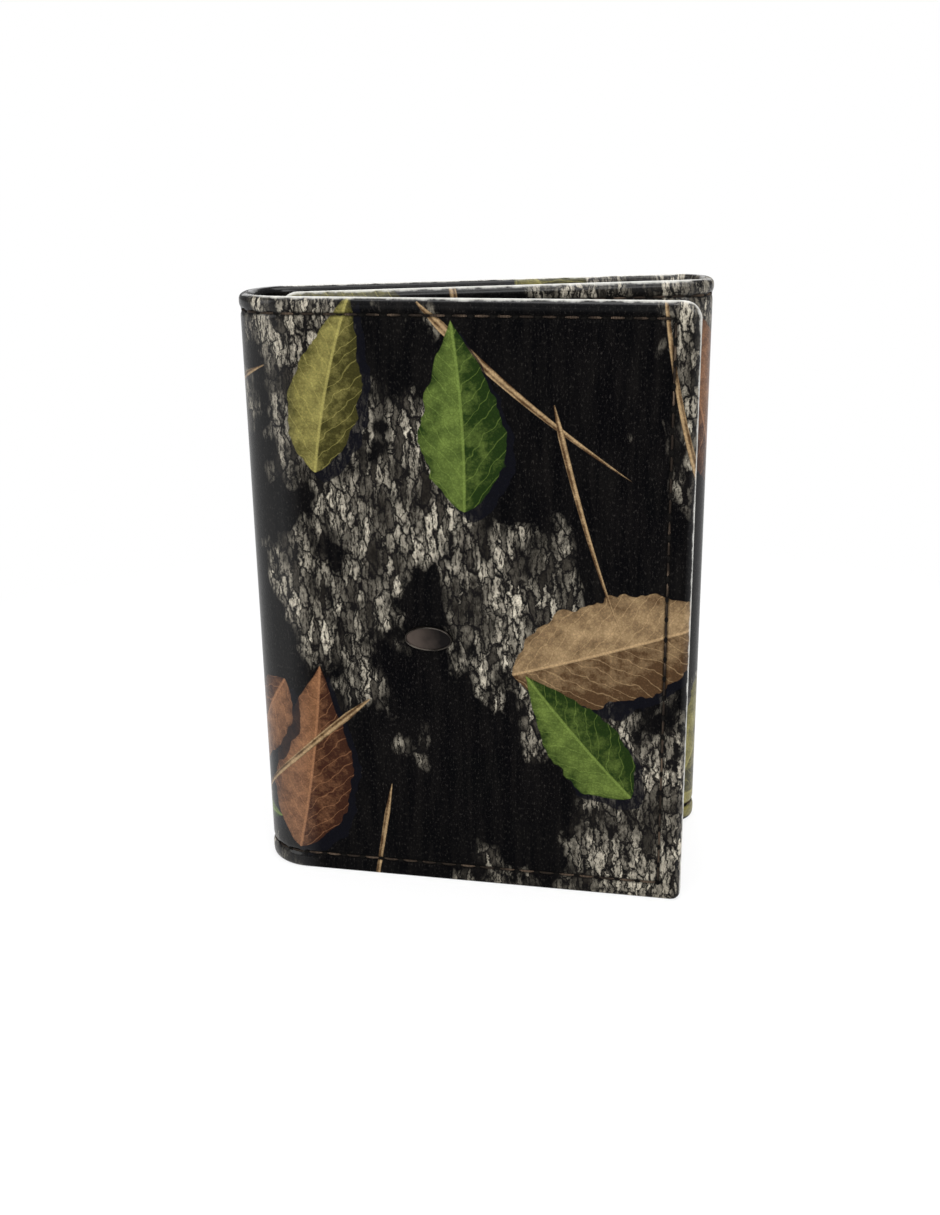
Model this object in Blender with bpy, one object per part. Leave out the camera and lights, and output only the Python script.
"""Trifold wallet, standing on its lower edges and sprung a little open.

Units are metres, +Z up. The back panel is parallel to the XZ plane with its outer face towards +Y.
The front flap turns on the left fold and the tuck flap on the right fold, both about vertical axes.
Every panel is laid out in its own plane: "run" goes along the panel away from its fold, "depth" goes
from the printed outer face towards the inside of the wallet.
"""

import math

import bmesh
import bpy
from mathutils import Vector

MM = 0.001

# Driving dimensions of the folded wallet. The overreach is how far a flap is longer than the back panel.
HEIGHT = 108.0 * MM
CLOSED_WIDTH = 85.5 * MM
LEFT_FOLD_RADIUS = 9.0 * MM
RIGHT_FOLD_RADIUS = 6.0 * MM
FRONT_FLAP_OVERREACH = 0.6 * MM
TUCK_FLAP_OVERREACH = 2.1 * MM
FRONT_FLAP_REST_ANGLE = math.radians(19.85)

# Sheet thicknesses and the clearance between sheets that lie on each other
COVER_THICKNESS = 1.0 * MM
LINING_THICKNESS = 0.25 * MM
DIVIDER_THICKNESS = 0.5 * MM
POCKET_THICKNESS = 0.45 * MM
WINDOW_THICKNESS = 0.2 * MM
CLEARANCE = 0.25 * MM

# Turned edges of the printed cover
HEM_HEIGHT = 9.0 * MM
END_HEM_RUN = 8.0 * MM
UPPER_CORNER_RADIUS = 3.0 * MM
LOWER_CORNER_RADIUS = 1.8 * MM

# Cloth lining behind the cover, and the inner wall of the bill compartment
LINING_BASE = 1.0 * MM
DIVIDER_TOP_DROP = 4.0 * MM
DIVIDER_BASE = 0.5 * MM
DIVIDER_ROOT_INSET = 6.0 * MM
DIVIDER_END_INSET = 1.2 * MM

# Card pockets for cards that stand upright
POCKET_RUN = 56.0 * MM
POCKET_END_INSET = 1.6 * MM
POCKET_BASE = 1.5 * MM
FIRST_POCKET_TOP = 88.0 * MM
POCKET_STEP = 13.0 * MM
FRONT_POCKET_COUNT = 3
TUCK_POCKET_COUNT = 3
THUMB_NOTCH_RADIUS = 8.0 * MM

# Identity window on the back panel
FRAME_SIDE_INSET = 6.5 * MM
FRAME_TOP = 98.0 * MM
FRAME_BORDER = 8.0 * MM
FRAME_CORNER_RADIUS = 3.0 * MM
WINDOW_LAP = 3.0 * MM

# Seams
TOP_SEAM_DROP = 2.8 * MM
BOTTOM_SEAM_RISE = 3.2 * MM
END_SEAM_INSET = 4.1 * MM
THREAD_WIDTH = 0.6 * MM
THREAD_HEIGHT = 0.35 * MM
THREAD_SEAT_GAP = 0.05 * MM

# Oval emblem plate with two prongs and a backing washer
EMBLEM_RUN = 25.2 * MM
EMBLEM_RISE = 48.4 * MM
EMBLEM_LENGTH = 8.8 * MM
EMBLEM_WIDTH = 4.6 * MM
EMBLEM_THICKNESS = 0.8 * MM
EMBLEM_RIM = 0.35 * MM
PRONG_SPACING = 5.0 * MM
PRONG_RADIUS = 0.45 * MM
PRONG_HOLE_CLEARANCE = 0.25 * MM
WASHER_THICKNESS = 0.4 * MM
WASHER_MARGIN = 0.6 * MM
OVAL_STEPS = 24
PRONG_STEPS = 12

# Facets on a half turn of a fold, and how far a fold stays off the ground
FOLD_STEPS = 20
FOLD_BASE = 0.5 * MM

# Places worked out from the driving dimensions
LEFT_FOLD_X = -CLOSED_WIDTH / 2 + LEFT_FOLD_RADIUS
RIGHT_FOLD_X = CLOSED_WIDTH / 2 - RIGHT_FOLD_RADIUS
BACK_RUN = RIGHT_FOLD_X - LEFT_FOLD_X
FRONT_FLAP_RUN = BACK_RUN + FRONT_FLAP_OVERREACH
TUCK_FLAP_RUN = BACK_RUN + TUCK_FLAP_OVERREACH
FLAP_REACH_Y = (
    FRONT_FLAP_RUN * math.sin(FRONT_FLAP_REST_ANGLE)
    + LEFT_FOLD_RADIUS * math.cos(FRONT_FLAP_REST_ANGLE)
)
BACK_FACE_Y = (LEFT_FOLD_RADIUS + FLAP_REACH_Y) / 2
WASHER_DEPTH = COVER_THICKNESS + CLEARANCE
LINING_DEPTH = WASHER_DEPTH + WASHER_THICKNESS + CLEARANCE
LINING_TOP = HEIGHT - HEM_HEIGHT - CLEARANCE
DIVIDER_DEPTH = max(2 * COVER_THICKNESS, LINING_DEPTH + LINING_THICKNESS) + CLEARANCE
FIRST_POCKET_DEPTH = DIVIDER_DEPTH + DIVIDER_THICKNESS + CLEARANCE
POCKET_PITCH = POCKET_THICKNESS + CLEARANCE
FOLD_GAP = CLEARANCE
DIVIDER_TOP = HEIGHT - DIVIDER_TOP_DROP


def clear_scene():
    for item in list(bpy.data.objects):
        bpy.data.objects.remove(item, do_unlink=True)


def make_material(name, colour, roughness, metallic=0.0, alpha=1.0):
    material = bpy.data.materials.new(name)
    material.use_nodes = True
    shader = material.node_tree.nodes["Principled BSDF"]
    shader.inputs["Base Color"].default_value = (*colour, 1.0)
    shader.inputs["Roughness"].default_value = roughness
    shader.inputs["Metallic"].default_value = metallic
    shader.inputs["Alpha"].default_value = alpha
    return material


def make_empty(name, place, turn=0.0):
    empty = bpy.data.objects.new(name, None)
    bpy.context.scene.collection.objects.link(empty)
    empty.location = place
    empty.rotation_euler = (0.0, 0.0, turn)
    return empty


def make_object(name, shape, material, parent):
    """A named object from a bmesh, with its faces turned outwards."""
    bmesh.ops.recalc_face_normals(shape, faces=shape.faces)
    mesh = bpy.data.meshes.new(name)
    shape.to_mesh(mesh)
    shape.free()
    mesh.materials.append(material)
    mesh.shade_smooth()
    mesh.set_sharp_from_angle(angle=math.radians(40))
    made = bpy.data.objects.new(name, mesh)
    bpy.context.scene.collection.objects.link(made)
    made.parent = parent
    return made


def extrude_outline(outline, direction):
    """A closed solid from a flat outline, pushed along a direction."""
    shape = bmesh.new()
    face = shape.faces.new([shape.verts.new(point) for point in outline])
    pushed = bmesh.ops.extrude_face_region(shape, geom=[face])
    moved = [item for item in pushed["geom"] if isinstance(item, bmesh.types.BMVert)]
    bmesh.ops.translate(shape, verts=moved, vec=direction)
    return shape


def cut(target, cutter, operation="DIFFERENCE"):
    """Applies a Boolean to the target's mesh and removes the tool object."""
    modifier = target.modifiers.new(operation.lower(), "BOOLEAN")
    modifier.object = cutter
    modifier.operation = operation
    modifier.solver = "EXACT"
    bpy.context.view_layer.update()
    evaluated = target.evaluated_get(bpy.context.evaluated_depsgraph_get())
    mesh = bpy.data.meshes.new_from_object(evaluated)
    target.modifiers.clear()
    target.data = mesh
    bpy.data.objects.remove(cutter, do_unlink=True)


class Panel:
    """One flat panel of the wallet: where run and depth lie in its parent's coordinates."""

    def __init__(self, parent, outer_face_y, run_sign, depth_sign, run_start=0.0):
        self.parent = parent
        self.outer_face_y = outer_face_y
        self.run_sign = run_sign
        self.depth_sign = depth_sign
        self.run_start = run_start

    def point(self, run, depth, rise):
        x = self.run_start + self.run_sign * run
        y = self.outer_face_y + self.depth_sign * depth
        return Vector((x, y, rise))

    def slab_shape(self, outline, depth, thickness):
        points = [self.point(run, depth, rise) for run, rise in outline]
        return extrude_outline(points, Vector((0, self.depth_sign * thickness, 0)))

    def slab(self, name, outline, depth, thickness, material):
        return make_object(name, self.slab_shape(outline, depth, thickness), material, self.parent)


def rectangle(run_low, run_high, rise_low, rise_high):
    return [(run_low, rise_low), (run_high, rise_low), (run_high, rise_high), (run_low, rise_high)]


def arc(centre, radius, start, end, steps):
    turn = (end - start) / steps
    return [
        (centre[0] + radius * math.cos(start + turn * i), centre[1] + radius * math.sin(start + turn * i))
        for i in range(steps + 1)
    ]


def free_end_outline(run_low, run_high, rise_low, rise_high, steps=4):
    """A rectangle whose two corners at the free end are round."""
    quarter = math.pi / 2
    lower, upper = LOWER_CORNER_RADIUS, UPPER_CORNER_RADIUS
    low = arc((run_high - lower, rise_low + lower), lower, -quarter, 0.0, steps)
    high = arc((run_high - upper, rise_high - upper), upper, 0.0, quarter, steps)
    return [(run_low, rise_low), *low, *high, (run_low, rise_high)]


def rounded_rectangle(run_low, run_high, rise_low, rise_high, radius, steps=4):
    quarter = math.pi / 2
    corners = [
        (run_low + radius, rise_low + radius, 2 * quarter),
        (run_high - radius, rise_low + radius, 3 * quarter),
        (run_high - radius, rise_high - radius, 0.0),
        (run_low + radius, rise_high - radius, quarter),
    ]
    points = []
    for run, rise, start in corners:
        points += arc((run, rise), radius, start, start + quarter, steps)
    return points


def oval(run, rise, length, width, steps=OVAL_STEPS):
    turn = 2 * math.pi / steps
    return [
        (run + length / 2 * math.cos(turn * i), rise + width / 2 * math.sin(turn * i)) for i in range(steps)
    ]


def notched_pocket_outline(run_low, run_high, rise_low, rise_high):
    """A pocket sheet with a shallow round thumb notch in the middle of its upper edge."""
    middle = (run_low + run_high) / 2
    sink = THUMB_NOTCH_RADIUS / 2
    half_angle = math.acos(sink / THUMB_NOTCH_RADIUS)
    centre = (middle, rise_high + sink)
    down = -math.pi / 2
    notch = arc(centre, THUMB_NOTCH_RADIUS, down + half_angle, down - half_angle, 8)
    return [(run_low, rise_low), (run_high, rise_low), (run_high, rise_high), *notch, (run_low, rise_high)]


def build_cover(panel, name, outline, run_low, run_high, material, has_free_end):
    """Printed leather sheet whose upper edge, and free end if it has one, is turned over inside."""
    cover = panel.slab(name, outline, 0.0, COVER_THICKNESS, material)
    hem_outline = [
        (run, max(rise, HEIGHT - HEM_HEIGHT)) for run, rise in outline if rise > HEIGHT - HEM_HEIGHT
    ]
    low_corners = [(run_high, HEIGHT - HEM_HEIGHT), (run_low, HEIGHT - HEM_HEIGHT)]
    if hem_outline[0][0] > hem_outline[-1][0]:
        low_corners.reverse()
    overlap = COVER_THICKNESS / 2
    hem = panel.slab("hem_tool", low_corners + hem_outline, overlap, COVER_THICKNESS + overlap, material)
    cut(cover, hem, "UNION")
    if has_free_end:
        end_low = run_high - END_HEM_RUN
        end_outline = [(max(run, end_low), rise) for run, rise in outline]
        end_hem = panel.slab("end_tool", end_outline, overlap, COVER_THICKNESS + overlap, material)
        cut(cover, end_hem, "UNION")
    return cover


def build_lining(panel, name, run_low, run_high, material):
    outline = rectangle(run_low, run_high, LINING_BASE, LINING_TOP)
    return panel.slab(name, outline, LINING_DEPTH, LINING_THICKNESS, material)


def build_divider(panel, name, run_low, run_high, material):
    outline = rectangle(run_low, run_high, DIVIDER_BASE, DIVIDER_TOP)
    return panel.slab(name, outline, DIVIDER_DEPTH, DIVIDER_THICKNESS, material)


def build_pockets(panel, name, count, run_end, material):
    """Stepped card pockets: each one in front of the last and shorter by one step."""
    for index in range(count):
        high = run_end - POCKET_END_INSET
        top = FIRST_POCKET_TOP - index * POCKET_STEP
        outline = notched_pocket_outline(high - POCKET_RUN, high, POCKET_BASE, top)
        depth = FIRST_POCKET_DEPTH + index * POCKET_PITCH
        panel.slab(f"{name}_{index + 1}", outline, depth, POCKET_THICKNESS, material)


def build_thread(panel, name, run_low, run_high, rise_low, rise_high, material):
    """One straight run of seam thread lying on the printed face."""
    outline = rectangle(run_low, run_high, rise_low, rise_high)
    return panel.slab(name, outline, -THREAD_SEAT_GAP - THREAD_HEIGHT, THREAD_HEIGHT, material)


def build_level_threads(panel, name, run_low, run_high, material):
    half = THREAD_WIDTH / 2
    for place, rise in (("top", HEIGHT - TOP_SEAM_DROP), ("bottom", BOTTOM_SEAM_RISE)):
        build_thread(panel, f"{name}_{place}_thread", run_low, run_high, rise - half, rise + half, material)


def build_end_thread(panel, name, run_end, material):
    half = THREAD_WIDTH / 2
    run = run_end - END_SEAM_INSET
    low = BOTTOM_SEAM_RISE + THREAD_WIDTH
    high = HEIGHT - TOP_SEAM_DROP - THREAD_WIDTH
    build_thread(panel, f"{name}_end_thread", run - half, run + half, low, high, material)


def ring_shape(centre, inner, outer, start, end, rise_low, rise_high):
    """Part of an upright tube wall between two angles."""
    sweep = abs(end - start)
    steps = max(4, round(FOLD_STEPS * sweep / math.pi))
    flat = arc(centre, outer, start, end, steps) + arc(centre, inner, end, start, steps)
    points = [Vector((x, y, rise_low)) for x, y in flat]
    return extrude_outline(points, Vector((0, 0, rise_high - rise_low)))


def build_fold(name, centre, radius, start, end, leather, cloth, thread):
    """One leather fold: printed cover with its turned upper edge, the lining and the seam threads."""
    gap = FOLD_GAP / radius
    low = start + math.copysign(gap, end - start)
    high = end - math.copysign(gap, end - start)
    inner = radius - COVER_THICKNESS
    cover = make_object(
        f"{name}_cover", ring_shape(centre, inner, radius, low, high, FOLD_BASE, HEIGHT), leather, None
    )
    hem_shape = ring_shape(
        centre, inner - COVER_THICKNESS, radius - COVER_THICKNESS / 2, low, high, HEIGHT - HEM_HEIGHT, HEIGHT
    )
    cut(cover, make_object("hem_tool", hem_shape, leather, None), "UNION")
    lining_outer = radius - LINING_DEPTH
    lining_shape = ring_shape(
        centre, lining_outer - LINING_THICKNESS, lining_outer, low, high, LINING_BASE, LINING_TOP
    )
    make_object(f"{name}_lining", lining_shape, cloth, None)
    half = THREAD_WIDTH / 2
    seat = radius + THREAD_SEAT_GAP
    for place, rise in (("top", HEIGHT - TOP_SEAM_DROP), ("bottom", BOTTOM_SEAM_RISE)):
        shape = ring_shape(centre, seat, seat + THREAD_HEIGHT, low, high, rise - half, rise + half)
        make_object(f"{name}_{place}_thread", shape, thread, None)


def build_emblem(panel, cover, metal):
    """Blank oval plate on the front flap, its prongs through the leather, and the washer behind."""
    rim_slope = oval(
        EMBLEM_RUN, EMBLEM_RISE, EMBLEM_LENGTH - 2 * EMBLEM_RIM, EMBLEM_WIDTH - 2 * EMBLEM_RIM
    )
    outer = oval(EMBLEM_RUN, EMBLEM_RISE, EMBLEM_LENGTH, EMBLEM_WIDTH)
    seat = -CLEARANCE
    levels = [
        [panel.point(run, seat, rise) for run, rise in outer],
        [panel.point(run, seat - EMBLEM_THICKNESS + EMBLEM_RIM, rise) for run, rise in outer],
        [panel.point(run, seat - EMBLEM_THICKNESS, rise) for run, rise in rim_slope],
    ]
    shape = bmesh.new()
    rings = [[shape.verts.new(point) for point in level] for level in levels]
    for below, above in zip(rings, rings[1:]):
        for i in range(OVAL_STEPS):
            after = (i + 1) % OVAL_STEPS
            shape.faces.new((below[i], below[after], above[after], above[i]))
    shape.faces.new(rings[0])
    shape.faces.new(rings[-1])
    plate = make_object("emblem_plate", shape, metal, panel.parent)
    washer_outline = oval(
        EMBLEM_RUN, EMBLEM_RISE, EMBLEM_LENGTH - 2 * WASHER_MARGIN, EMBLEM_WIDTH - 2 * WASHER_MARGIN
    )
    washer = panel.slab("emblem_washer", washer_outline, WASHER_DEPTH, WASHER_THICKNESS, metal)
    for side in (-1, 1):
        run = EMBLEM_RUN + side * PRONG_SPACING / 2
        prong_length = WASHER_DEPTH + WASHER_THICKNESS - seat + EMBLEM_THICKNESS / 2
        prong_outline = oval(run, EMBLEM_RISE, 2 * PRONG_RADIUS, 2 * PRONG_RADIUS, PRONG_STEPS)
        hole_width = 2 * (PRONG_RADIUS + PRONG_HOLE_CLEARANCE)
        hole_outline = oval(run, EMBLEM_RISE, hole_width, hole_width, PRONG_STEPS)
        for drilled in (cover, washer):
            drill = panel.slab("drill", hole_outline, seat, DIVIDER_DEPTH, metal)
            cut(drilled, drill)
        prong = panel.slab("prong", prong_outline, seat - EMBLEM_THICKNESS / 2, prong_length, metal)
        cut(plate, prong, "UNION")


def build_back_panel(panel, leather, lining, cloth, thread, clear):
    low, high = FOLD_GAP / 2, BACK_RUN - FOLD_GAP / 2
    outline = rectangle(low, high, 0.0, HEIGHT)
    build_cover(panel, "back_cover", outline, low, high, leather, has_free_end=False)
    build_lining(panel, "back_lining", low, high, cloth)
    build_divider(panel, "back_divider", low, high, lining)
    build_level_threads(panel, "back", low, high, thread)
    frame_low, frame_high = FRAME_SIDE_INSET, BACK_RUN - FRAME_SIDE_INSET
    frame_outline = rectangle(frame_low, frame_high, POCKET_BASE, FRAME_TOP)
    window_depth = FIRST_POCKET_DEPTH
    frame_depth = window_depth + WINDOW_THICKNESS + CLEARANCE
    frame = panel.slab("id_window_frame", frame_outline, frame_depth, POCKET_THICKNESS, lining)
    hole_outline = rounded_rectangle(
        frame_low + FRAME_BORDER,
        frame_high - FRAME_BORDER,
        POCKET_BASE + FRAME_BORDER,
        FRAME_TOP - FRAME_BORDER,
        FRAME_CORNER_RADIUS,
    )
    tool_depth = frame_depth - POCKET_THICKNESS
    cut(frame, panel.slab("frame_tool", hole_outline, tool_depth, 3 * POCKET_THICKNESS, lining))
    lap = FRAME_BORDER - WINDOW_LAP
    window_outline = rectangle(frame_low + lap, frame_high - lap, POCKET_BASE + lap, FRAME_TOP - lap)
    panel.slab("id_window", window_outline, window_depth, WINDOW_THICKNESS, clear)


def build_flap(panel, name, run, pocket_count, leather, lining, cloth, thread):
    """A folding panel: cover with turned edges, divider, card pockets and seams."""
    outline = free_end_outline(FOLD_GAP / 2, run, 0.0, HEIGHT)
    cover = build_cover(panel, f"{name}_cover", outline, FOLD_GAP / 2, run, leather, has_free_end=True)
    build_lining(panel, f"{name}_lining", FOLD_GAP / 2, run - END_HEM_RUN - CLEARANCE, cloth)
    build_divider(panel, f"{name}_divider", DIVIDER_ROOT_INSET, run - DIVIDER_END_INSET, lining)
    build_pockets(panel, f"{name}_card_pocket", pocket_count, run - DIVIDER_END_INSET, lining)
    seam_end = run - END_SEAM_INSET + THREAD_WIDTH / 2
    build_level_threads(panel, name, FOLD_GAP / 2, seam_end, thread)
    build_end_thread(panel, name, run, thread)
    return cover


def main():
    clear_scene()
    leather = make_material("printed_leather", (0.10, 0.09, 0.07), 0.45)
    lining = make_material("black_lining_leather", (0.02, 0.018, 0.016), 0.6)
    cloth = make_material("lining_cloth", (0.03, 0.028, 0.026), 0.9)
    thread = make_material("brown_thread", (0.17, 0.10, 0.06), 0.8)
    clear = make_material("clear_vinyl", (0.8, 0.82, 0.82), 0.1, alpha=0.3)
    metal = make_material("dark_metal", (0.12, 0.10, 0.09), 0.35, metallic=1.0)

    left_axis = Vector((LEFT_FOLD_X, BACK_FACE_Y - LEFT_FOLD_RADIUS, 0.0))
    right_axis = Vector((RIGHT_FOLD_X, BACK_FACE_Y - RIGHT_FOLD_RADIUS, 0.0))
    front_hinge = make_empty("front_hinge", left_axis, -FRONT_FLAP_REST_ANGLE)
    tuck_hinge = make_empty("tuck_hinge", right_axis)

    back = Panel(None, BACK_FACE_Y, 1, -1, LEFT_FOLD_X)
    front = Panel(front_hinge, -LEFT_FOLD_RADIUS, 1, 1)
    tuck = Panel(tuck_hinge, -RIGHT_FOLD_RADIUS, -1, 1)

    build_back_panel(back, leather, lining, cloth, thread, clear)
    front_cover = build_flap(
        front, "front_flap", FRONT_FLAP_RUN, FRONT_POCKET_COUNT, leather, lining, cloth, thread
    )
    build_flap(tuck, "tuck_flap", TUCK_FLAP_RUN, TUCK_POCKET_COUNT, leather, lining, cloth, thread)
    build_emblem(front, front_cover, metal)

    half_turn = math.pi
    quarter_turn = math.pi / 2
    left_end = quarter_turn + half_turn - FRONT_FLAP_REST_ANGLE
    build_fold(
        "left_fold", left_axis, LEFT_FOLD_RADIUS, quarter_turn, left_end, leather, cloth, thread
    )
    build_fold(
        "right_fold", right_axis, RIGHT_FOLD_RADIUS, quarter_turn, -quarter_turn, leather, cloth, thread
    )


main()
